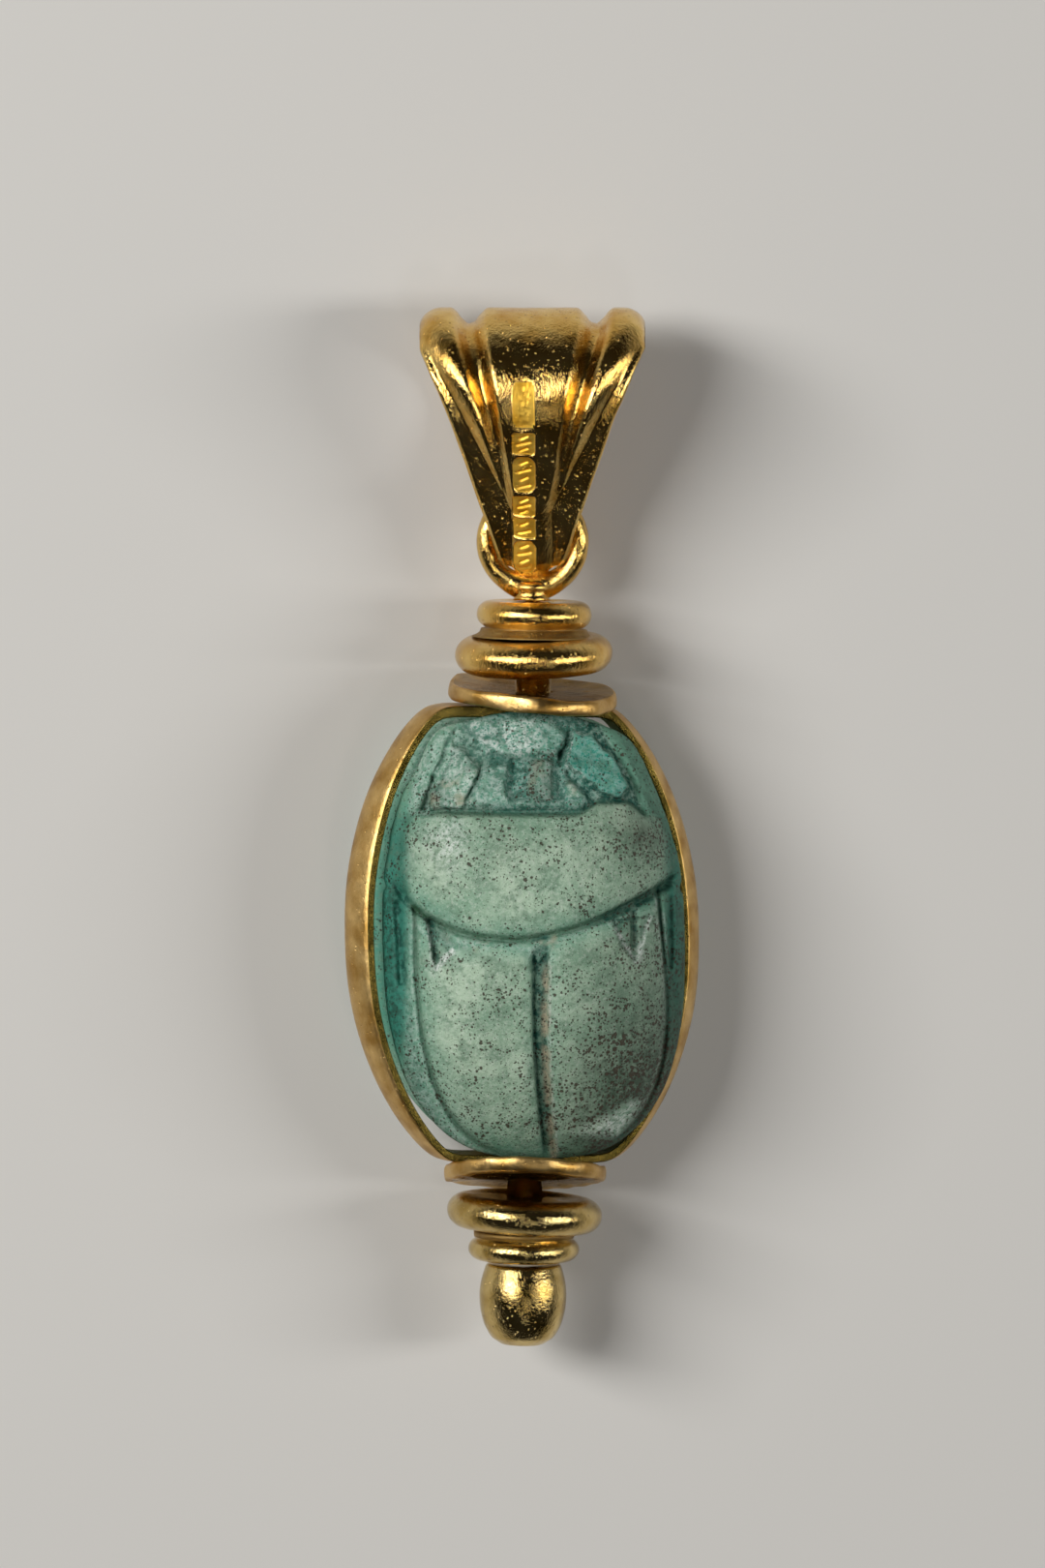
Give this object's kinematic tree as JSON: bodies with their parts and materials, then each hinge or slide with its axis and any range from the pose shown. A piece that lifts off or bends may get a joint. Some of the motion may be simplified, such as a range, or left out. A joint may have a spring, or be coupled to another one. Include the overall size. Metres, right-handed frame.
{
  "type": "scarab seal in a swivel pendant mount",
  "caption": "Carved glazed scarab seal held in an oval gold band that turns on a lengthwise pin, with discs, rings, a finial and a folded, fluted bail on an eye ring.",
  "frame": {"origin": "on the seal's flat base, below the middle of the lengthwise pin", "axes": "+Y along the pin towards the head and the bail, +Z out of the beetle's back, +X to the right of the beetle seen from above with its head up"},
  "size_m": [0.0162, 0.0468, 0.0092],
  "materials": {
    "glazed_scarab": "old matt green glaze on steatite",
    "satin_gold": "18 carat gold, satin",
    "hammered_gold": "18 carat gold, hammered and polished",
    "polished_gold": "18 carat gold, polished"
  },
  "bodies": {
    "framed_scarab": {"scarab": "glazed_scarab", "band": "satin_gold", "top_disc": "hammered_gold", "bottom_disc": "hammered_gold"},
    "spindle": {"pin": "polished_gold", "top_large_ring": "polished_gold", "top_small_ring": "polished_gold", "bottom_large_ring": "polished_gold", "bottom_small_ring": "polished_gold", "finial": "polished_gold", "eye_ring": "polished_gold", "bail": "polished_gold"}
  },
  "joints": [
    {"name": "spindle_turn", "type": "hinge", "parent": "framed_scarab", "child": "spindle", "pos_m": [0, 0, 0.0043], "axis": [0, 1, 0], "continuous": true}
  ]
}
